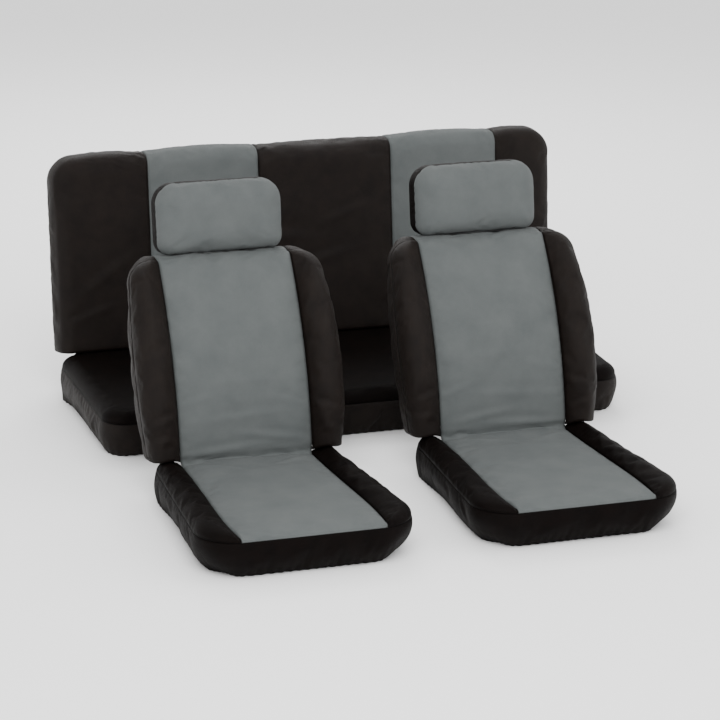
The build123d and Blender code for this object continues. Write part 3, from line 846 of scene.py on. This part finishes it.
def headGrid(sign, count, seed):
    # one half of the pillow: rings from the middle out to the rounded outline, then the wall to the seam
    halfX, halfZ = head["half"], head["tall"] / 2
    s = np.linspace(-1, 1, count)
    a, b = np.meshgrid(s, s)
    corner = np.where(b < 0, head["lowCorner"], head["corner"])
    size = np.maximum(np.abs(a), np.abs(b))
    wall = 0.16
    face = np.clip(size / (1 - wall), 0, 1)
    down = np.clip((size - (1 - wall)) / wall, 0, 1)
    safe = np.maximum(size, 1e-6)
    ex, ez = a / safe, b / safe
    # the unit square's rim is carried to the rounded rectangle's rim
    wide, high = np.abs(ex) * halfX, np.abs(ez) * halfZ
    pastX, pastZ = wide - (halfX - corner), high - (halfZ - corner)
    over = np.maximum(np.hypot(np.clip(pastX, 0, None), np.clip(pastZ, 0, None)) / corner, 1)
    rimX = np.sign(ex) * np.where(pastX > 0, halfX - corner + pastX / over, wide)
    rimZ = np.sign(ez) * np.where(pastZ > 0, halfZ - corner + pastZ / over, high)
    grow = np.sin(np.pi / 2 * face) * 0.6 + face * 0.4
    x, z = rimX * grow, rimZ * grow
    gap = cornerDepth(halfX - np.abs(x), halfZ - np.abs(z), corner)
    reach = head["thick"] / 2 + sign * head["seamSet"]
    edge = min(head["edge"], reach - 0.002)
    depth = reach - edge + edge * quarterRound(gap, edge * 1.15)
    depth = depth + head["crown"] * ease(gap / 0.06) + 0.0014 * unevenness(x, z, 0.09, seed) * ease(gap / 0.03)
    depth = np.where(down > 0, (reach - edge) * (1 - down), depth)
    # the wall is drawn in a little towards the seam
    waist = 1 - 0.012 * down ** 2
    x, z = x * waist, z * waist
    side = -sign * depth + head["seamSet"]
    return x, side, z + halfZ


def headCover(side, x0, y0, seed):
    origin, tilt = headPlace()
    name = f"front_{side}_"
    body = f"front_{side}_head"

    def placed(x, deep, up):
        y = origin[0] + deep * math.cos(tilt) + up * math.sin(tilt)
        z = origin[1] - deep * math.sin(tilt) + up * math.cos(tilt)
        return stacked(x + x0, y + y0, z)
    inHead = placed(np.array(0.0), np.array(0.0), np.array(head["tall"] / 2))
    halves = (("Front", 1, greyFabric, "grey_fabric"), ("Rear", -1, blackShadedCopy, "black_fabric"))
    for part, sign, material, slotName in halves:
        x, deep, up = headGrid(sign, 62, seed + 60 + sign)
        piece = sewnPanel(f"{name}head{part}", placed(x, deep, up), inHead, material,
                          lining=liningFabric, slack=0.014, pressure=1.5)
        assigned(piece, body, f"{name}head_{part.lower()}")
    # elastic round the mouth: a gathered ring on the underside
    turn = np.linspace(0, 2 * np.pi, 121)
    wide, deep = head["half"] - head["mouthRim"] - 0.01, head["thick"] / 2 - head["mouthRim"]
    t = np.linspace(0, 1, 5)[:, None]
    pleat = 0.0011 * np.sin(28 * turn)[None, :]
    x = np.sign(np.cos(turn)) * np.abs(np.cos(turn)) ** 0.5 * (wide + 0.012 * t)
    y = np.sign(np.sin(turn)) * np.abs(np.sin(turn)) ** 0.5 * (deep + 0.012 * t)
    band(f"{name}headMouth", placed(x, y, 0.0012 + 0.001 * t + pleat * 0.6), inHead, 0.0008, body, f"{name}head_hem")


for seatSide in ("left", "right"):
    frontSeat(seatSide)

# ---- rear bench
def benchSeams():
    # the strips' edges across the bench, from the frame's own panels
    order = ("outer_left", "insert_left", "middle", "insert_right", "outer_right")
    lows = [round(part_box(f"bench_back_{name}")[0][0], 4) for name in order]
    return (*lows, round(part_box("bench_back_outer_right")[1][0], 4))


bench = {
    "half": 0.69, "depth": 0.482, "height": 0.118, "corner": 0.062, "edge": 0.031, "seamHeight": 0.087,
    "stripes": benchSeams(), "topCrown": 0.003, "skirtTuck": 0.014,
    "backTall": 0.506, "backThick": 0.108, "backLean": 8.0, "backCorner": 0.064, "backEdge": 0.03,
    "backSeam": 0.082, "backLift": 0.006, "stripeRise": 0.007, "backCrown": 0.0025,
}
stripeNames = ["outer_left", "insert_left", "middle", "insert_right", "outer_right"]
stripeLabels = ["outerLeft", "insertLeft", "middle", "insertRight", "outerRight"]


def stripeWave(x):
    # 0 at the seams between the strips and 1 at the middle of each
    value = np.zeros(np.shape(x))
    for low, high in zip(bench["stripes"][:-1], bench["stripes"][1:]):
        inside = (x >= low) & (x <= high)
        value = np.where(inside, np.sin(np.pi * np.clip((x - low) / (high - low), 0, 1)) ** 0.7, value)
    return value


def benchTop(x, y):
    gap = cornerDepth(bench["half"] - np.abs(x), y + bench["depth"], bench["corner"])
    edge = quarterRound(gap, bench["edge"])
    crown = (bench["topCrown"] * stripeWave(x) + 0.0012 * unevenness(x, y, 0.17, 71)) * ease(-y / 0.3)
    seams = sum(np.exp(-((x - s) / 0.006) ** 2) for s in bench["stripes"][1:-1])
    return bench["seamHeight"] + (bench["height"] - bench["seamHeight"] + crown - 0.0022 * seams) * edge


def cornerPatch(inner, half, tall, corner, rows, cornerRows):
    # outline of an outer strip from its open end, along the side and round the corner to the strip's inner line
    up = np.linspace(0, tall - corner, rows)
    turn = np.linspace(0, np.pi / 2, cornerRows)[1:]
    over = np.linspace(half - corner, inner, 22)[1:]
    outX = np.concatenate([np.full(rows, half), half - corner + corner * np.cos(turn), over])
    outV = np.concatenate([up, tall - corner + corner * np.sin(turn), np.full(21, tall)])
    low = tall - corner - 0.06
    spread = np.concatenate([np.linspace(0, 1, rows) * low, np.linspace(low, tall, cornerRows + 21)[1:]])
    return outX, outV, spread


def benchCushion():
    y0 = foldLine["bench"]
    inCushion = np.array([0, y0 - 0.24, 0.03])
    for index in range(5):
        low, high = bench["stripes"][index], bench["stripes"][index + 1]
        grey = "insert" in stripeNames[index]
        # black strips take the painted-shade copy of the black knit
        material = greyFabric if grey else blackShadedCopy
        if index in (0, 4):
            inner = abs(bench["stripes"][4 if index else 1])
            outX, outV, innerV = cornerPatch(inner, bench["half"], bench["depth"], bench["corner"], 52, 20)
            u = spaced(0, 1, 30, "high")[None, :]
            x = inner + (outX[:, None] - inner) * u
            v = innerV[:, None] + (outV - innerV)[:, None] * u
            x = x * (1 if index == 4 else -1)
        else:
            u = np.linspace(low, high, 50)[None, :]
            bendAt = bench["depth"] - 0.035
            v = np.concatenate([np.linspace(0, bendAt, 62), spaced(bendAt, bench["depth"], 14, "high")[1:]])[:, None]
            x, v = u + 0 * v, v + 0 * u
        grid = stacked(x, y0 - v, benchTop(x, -v))
        lip = tuckedFlap(grid[0], 0.03, -0.003, 0.0)
        grid = np.concatenate([lip, grid])
        piece = sewnPanel(f"bench_cushionStrip_{stripeLabels[index]}", grid, inCushion, material, free=("bottom",),
                          seams=("left", "right", "top"), lining=liningFabric, slack=0.008, pressure=0.8, cap=0.0018)
        assigned(piece, "bench_seat", f"bench_cushion_{stripeNames[index]}")

    # skirt round the front and ends, with slack diagonal folds
    outX, outV, _ = cornerPatch(bench["stripes"][4], bench["half"], bench["depth"], bench["corner"], 52, 20)
    ring = bothSides(alongPath(np.concatenate([stacked(outX, -outV), [[0, -bench["depth"]]]]), 190))
    outwards = outwardsOf(ring, (0, -0.24))
    run = runningLength(ring)
    t = np.linspace(0, 1, 20)[:, None]
    gather = 0.0013 * np.sin(2 * np.pi * run / 0.024 + 1.2 * np.sin(run / 0.06))
    places = [(0.66, 0.05, 64), (0.78, 0.045, -58), (0.9, 0.05, 60), (1.02, 0.04, -64),
              (1.14, 0.05, 58), (1.27, 0.045, -60), (1.4, 0.045, 62), (1.55, 0.05, -62),
              (1.7, 0.045, 60), (0.35, 0.05, -60), (0.2, 0.045, 66), (1.95, 0.045, 60)]
    creases = folds(run, t * 0.09, [(s, v, turn, 0.04, 0.008, 0.0052) for s, v, turn in places])
    rearHold = 1 - 0.9 * ease((ring[:, 1] + 0.09) / 0.09)
    tuck = bench["skirtTuck"] * rearHold
    out = (0.004 * np.sin(np.pi * t ** 0.8) - tuck * t ** 2.1 + gather * ease((t - 0.4) / 0.5)
           + (0.002 * unevenness(run, t * 0.09, 0.13, 81) + creases) * np.sin(np.pi * t))
    grid = hemmed(standing(ring, outwards, out, bench["seamHeight"] * (1 - t) + 0.0006 * t), outwards) + (0, y0, 0)
    piece = sewnPanel("bench_cushionSkirt", grid, inCushion, blackFabric, free=("left", "right"), seams=("bottom",),
                      lining=liningFabric, slack=0.012, pressure=1.0)
    assigned(piece, "bench_seat", "bench_cushion_skirt")
    t = np.linspace(0, 1, 5)[:, None]
    deep = 1 - t * 0.018 / 0.087
    inset = -tuck * deep ** 2.1 + gather * ease((deep - 0.4) / 0.5) - 0.0075
    grid = standing(ring, outwards, inset, 0.002 + t * 0.018)
    band("bench_cushionHem", grid[:, 3:-3] + (0, y0, 0), inCushion, 0.0014, "bench_seat", "bench_cushion_hem")


# creases of the bench's back: across, up from its lower edge, turn, length, width, height
backCreases = [(0.02, 0.2, 12, 0.09, 0.012, 0.0022), (-0.08, 0.27, -8, 0.08, 0.014, 0.002),
               (0.1, 0.32, 18, 0.07, 0.012, 0.0018), (-0.56, 0.2, 35, 0.08, 0.012, 0.0022),
               (-0.6, 0.1, 20, 0.06, 0.01, 0.002), (0.6, 0.3, -30, 0.08, 0.012, 0.002),
               (-0.33, 0.42, 4, 0.1, 0.012, 0.0012), (0.33, 0.4, -5, 0.1, 0.012, 0.0012)]


def benchBack():
    y0, z0 = foldLine["bench"], bench["height"] + bench["backLift"]
    lean = math.radians(bench["backLean"])

    def placed(x, up, deep):
        # from (across, up the lean, rearwards from the front face)
        c, s = math.cos(lean), math.sin(lean)
        return stacked(x, y0 + up * s + deep * c, z0 + up * c - deep * s)
    inBack = placed(np.array(0.0), np.array(0.25), np.array(0.054))
    tall, seam, edge = bench["backTall"], bench["backSeam"], bench["backEdge"]

    def frontDepth(x, up):
        gap = cornerDepth(bench["half"] - np.abs(x), tall - up, bench["backCorner"])
        crown = bench["backCrown"] * stripeWave(x) * ease(up / 0.26) + 0.0012 * unevenness(x, up, 0.2, 91)
        seams = sum(np.exp(-((x - s) / 0.006) ** 2) for s in bench["stripes"][1:-1])
        lines = folds(x, up, backCreases)
        return edge * (1 - quarterRound(gap, edge * 1.05)) - (crown + lines - 0.0022 * seams) * ease(gap / 0.05)

    def riseOver(x):
        # grey strips stand proud along the top, with dips at their seams
        wide = np.where((x > bench["stripes"][2]) & (x < bench["stripes"][3]), 0.25, 1.0)
        return bench["stripeRise"] * stripeWave(x) * wide * np.clip((bench["half"] - np.abs(x)) / 0.12, 0, 1)
    for index in range(5):
        low, high = bench["stripes"][index], bench["stripes"][index + 1]
        grey = "insert" in stripeNames[index]
        wallT = np.linspace(0, 1, 12)[1:]
        if index in (0, 4):
            inner = abs(bench["stripes"][4 if index else 1])
            outX, outV, innerV = cornerPatch(inner, bench["half"], tall, bench["backCorner"], 60, 22)
            u = spaced(0, 1, 32, "high")[None, :]
            x = inner + (outX[:, None] - inner) * u
            v = innerV[:, None] + (outV - innerV)[:, None] * u
            flip = 1 if index == 4 else -1
            deep = frontDepth(x * flip, v)
            x = np.concatenate([x, np.repeat(outX[:, None], 11, 1)], 1)
            v = np.concatenate([v, np.repeat(outV[:, None], 11, 1)], 1)
            deep = np.concatenate([deep, edge + (seam - edge) * wallT[None, :] + 0 * outX[:, None]], 1)
            # the wall stands out slightly between the edge and the rear seam
            puff = 0.003 * np.sin(np.pi * wallT)[None, :] + 0 * outX[:, None]
            puff = np.concatenate([np.zeros((len(outX), 32)), puff], 1)
            side = ease((bench["backCorner"] * 1.2 - (tall - v)) / bench["backCorner"])
            x = x + puff * (1 - side)
            v = v + puff * side
            x = x * flip
        else:
            across = np.linspace(low, high, 52)[None, :]
            up = np.concatenate([np.linspace(0, tall - 0.04, 70), spaced(tall - 0.04, tall, 14, "high")[1:]])[:, None]
            deep = frontDepth(across + 0 * up, up + 0 * across)
            x = np.concatenate([across + 0 * up, np.repeat(across, 11, 0)])
            v = np.concatenate([up + 0 * across, np.full((11, 52), tall) + 0.003 * np.sin(np.pi * wallT)[:, None]])
            deep = np.concatenate([deep, edge + (seam - edge) * wallT[:, None] + 0 * across])
        v = v + riseOver(x) * ease((v - tall + 0.12) / 0.12)
        material = greyFabric if grey else blackFabric
        piece = sewnPanel(f"bench_backStrip_{stripeLabels[index]}", placed(x, v, deep), inBack, material,
                          free=("bottom",), seams=("left", "right", "top"), lining=liningFabric, slack=0.01,
                          pressure=1.0, cap=0.0024)
        assigned(piece, "bench_back", f"bench_back_{stripeNames[index]}")

    # rear panel: rows across between the seams, with the rounded rear edge
    outX, outV, _ = cornerPatch(bench["stripes"][4], bench["half"], tall, bench["backCorner"], 60, 22)
    keep = np.concatenate([[True], np.diff(outV) > 1e-6])
    outX, outV = outX[keep], outV[keep]
    u = np.concatenate([-1 + 0 * outV[:1], spaced(-1, 1, 118)[1:-1], [1.0]])[None, :]
    x = outX[:, None] * u
    v = outV[:, None] + 0 * u
    gap = cornerDepth(bench["half"] - np.abs(x), tall - v, bench["backCorner"])
    uneven = 0.0018 * unevenness(x, v, 0.24, 101) * ease(gap / 0.05)
    deep = seam + (bench["backThick"] - seam) * quarterRound(gap, 0.028) + 0.003 * ease(gap / 0.2) + uneven
    v = v + riseOver(x) * ease((v - tall + 0.12) / 0.12)
    piece = sewnPanel("bench_backRear", placed(x, v, deep), inBack, blackFabric, free=("bottom",),
                      seams=("left", "right", "top"), lining=liningFabric, slack=0.006, pressure=0.8, bend=1.2)
    assigned(piece, "bench_back", "bench_back_rear")

    # elastic inside the lower edge: a rounded rectangle seen from below
    halfX, halfY = bench["half"] - 0.006, bench["backThick"] / 2 - 0.006
    bevel = ((0, 0.02), (0.006, 0.006), (0.02, 0))
    corners = ((-1, -1, 1), (1, -1, -1), (1, 1, 1), (-1, 1, -1))
    path = [(sideX * (halfX - dx), sideY * (halfY - dy)) for sideX, sideY, turn in corners for dx, dy in bevel[::turn]]
    path = alongPath(np.array([*path, path[0]]), 361)
    run = np.linspace(0, 1, 361)
    t = np.linspace(0, 1, 5)[:, None]
    grid = placed(path[:, 0], 0.001 + 0.018 * t,
                  path[:, 1] + bench["backThick"] / 2 + 0.0006 * np.sin(2 * np.pi * run * 170))
    band("bench_backHem", grid, inBack, 0.0012, "bench_back", "bench_back_hem")
    for number, x in enumerate((-0.484, -0.184, 0.184, 0.484)):
        t = np.linspace(0, 1, 20)[:, None]
        across = np.linspace(-0.0125, 0.0125, 7)[None, :]
        sag = 0.001 - 0.001 * np.sin(np.pi * t)
        grid = placed(x + across, sag, 0.007 + (bench["backThick"] - 0.014) * t)
        band(f"bench_backTie_{number + 1}", grid, inBack, 0.0014, "bench_back", "bench_back_ties")


benchCushion()
benchBack()
print("bench covered")


# ---- webbing straps across the open undersides, through the wire hooks
straps = {"width": 0.025, "thickness": 0.0016, "lift": 0.0016, "hookLength": 0.034}


def crossStraps(label, x0, y0, places, halfAt, body, nodes):
    for number, place in enumerate(places):
        half = halfAt(place)
        hookX = half - 1.5 * straps["hookLength"]
        ends = [(-half, hookX - straps["hookLength"] / 2 + 0.006), (hookX + straps["hookLength"] / 2 - 0.006, half)]
        for part, (low, high) in zip(("long", "short"), ends):
            along = np.linspace(low, high, max(int((high - low) / 0.008), 6))[:, None]
            across = np.linspace(-straps["width"] / 2, straps["width"] / 2, 7)[None, :]
            # the end that holds the hook narrows and lifts over its wire
            at = high if part == "long" else low
            near = ease(1 - np.abs(along - at) / 0.03)
            narrow = 1 - 0.62 * near
            lift = straps["lift"] + 0.0032 * near
            grid = stacked(x0 + along, y0 + place + across * narrow, lift)
            piece = sewnPanel(f"{label}Strap_{number + 1}_{part}", grid, (x0, y0, -1), strapWebbing, seams=(),
                              thickness=straps["thickness"])
            assigned(piece, body, nodes)


for seatSide in ("left", "right"):
    crossStraps(f"front_{seatSide}_cushion", seatMiddle[seatSide], foldLine["front"], (-0.106, -0.35),
                lambda y: float(cushionHalf(y)) - 0.034, f"front_{seatSide}_seat", f"front_{seatSide}_cushion_straps")
crossStraps("bench_cushion", 0.0, foldLine["bench"], (-0.072, -0.336),
            lambda y: bench["half"] - 0.024, "bench_seat", "bench_cushion_straps")
for node in ("front_left_cushion_hooks", "front_right_cushion_hooks", "bench_cushion_hooks"):
    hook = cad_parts[node]
    for slotIndex in range(len(hook.material_slots)):
        hook.material_slots[slotIndex].material = hookWire
print("straps and hooks done")

for piece, width, length, area in allSheets:
    width, length = round(width, 4), round(length, 4)


# ---- floor, light and camera
studio = {
    "azimuth": -18.96, "elevation": 18.15, "roll": 1.02, "lens": 151.7, "distance": 8.0,
    "target": (0.076, 0.419, 0.092), "floor": 0.95, "worldStrength": 1.4,
    "lights": [("keyLight", (-1.2, -3.0, 3.4), 2.6, 165), ("fillLight", (3.2, -1.6, 2.2), 3.0, 50),
               ("rearLight", (0.5, 3.0, 2.8), 2.5, 90)],
}


def stageAndCamera():
    floorMaterial = bpy.data.materials.new("paleFloor")
    floorMaterial.use_nodes = True
    shader = floorMaterial.node_tree.nodes["Principled BSDF"]
    shader.inputs["Base Color"].default_value = (studio["floor"],) * 3 + (1,)
    shader.inputs["Roughness"].default_value = 0.9
    bpy.ops.mesh.primitive_plane_add(size=60, location=(0, 0, -0.0005))
    floor = bpy.context.object
    floor.name = "studioFloor"
    floor.data.materials.append(floorMaterial)
    world = bpy.data.worlds.new("studioLight")
    bpy.context.scene.world = world
    world.use_nodes = True
    world.node_tree.nodes["Background"].inputs[0].default_value = (1, 1, 1, 1)
    world.node_tree.nodes["Background"].inputs[1].default_value = studio["worldStrength"]
    for label, place, size, power in studio["lights"]:
        light = bpy.data.lights.new(label, "AREA")
        light.size = size
        light.energy = power
        lamp = bpy.data.objects.new(label, light)
        bpy.context.scene.collection.objects.link(lamp)
        lamp.location = place
        lamp.rotation_euler = (Vector((0, 0, 0.3)) - Vector(place)).to_track_quat("-Z", "Y").to_euler()
    a, e, r = (math.radians(studio[k]) for k in ("azimuth", "elevation", "roll"))
    away = Vector((math.sin(a) * math.cos(e), -math.cos(a) * math.cos(e), math.sin(e)))
    right = (-away).cross(Vector((0, 0, 1))).normalized()
    up = right.cross(-away)
    rolledRight = math.cos(r) * right + math.sin(r) * up
    rolledUp = -math.sin(r) * right + math.cos(r) * up
    data = bpy.data.cameras.new("studioCamera")
    data.lens = studio["lens"]
    data.sensor_width = 36
    data.clip_end = 100
    camera = bpy.data.objects.new("studioCamera", data)
    bpy.context.scene.collection.objects.link(camera)
    turn = Matrix((rolledRight, rolledUp, away)).transposed().to_4x4()
    camera.matrix_world = Matrix.Translation(Vector(studio["target"]) + away * studio["distance"]) @ turn
    bpy.context.scene.camera = camera


stageAndCamera()
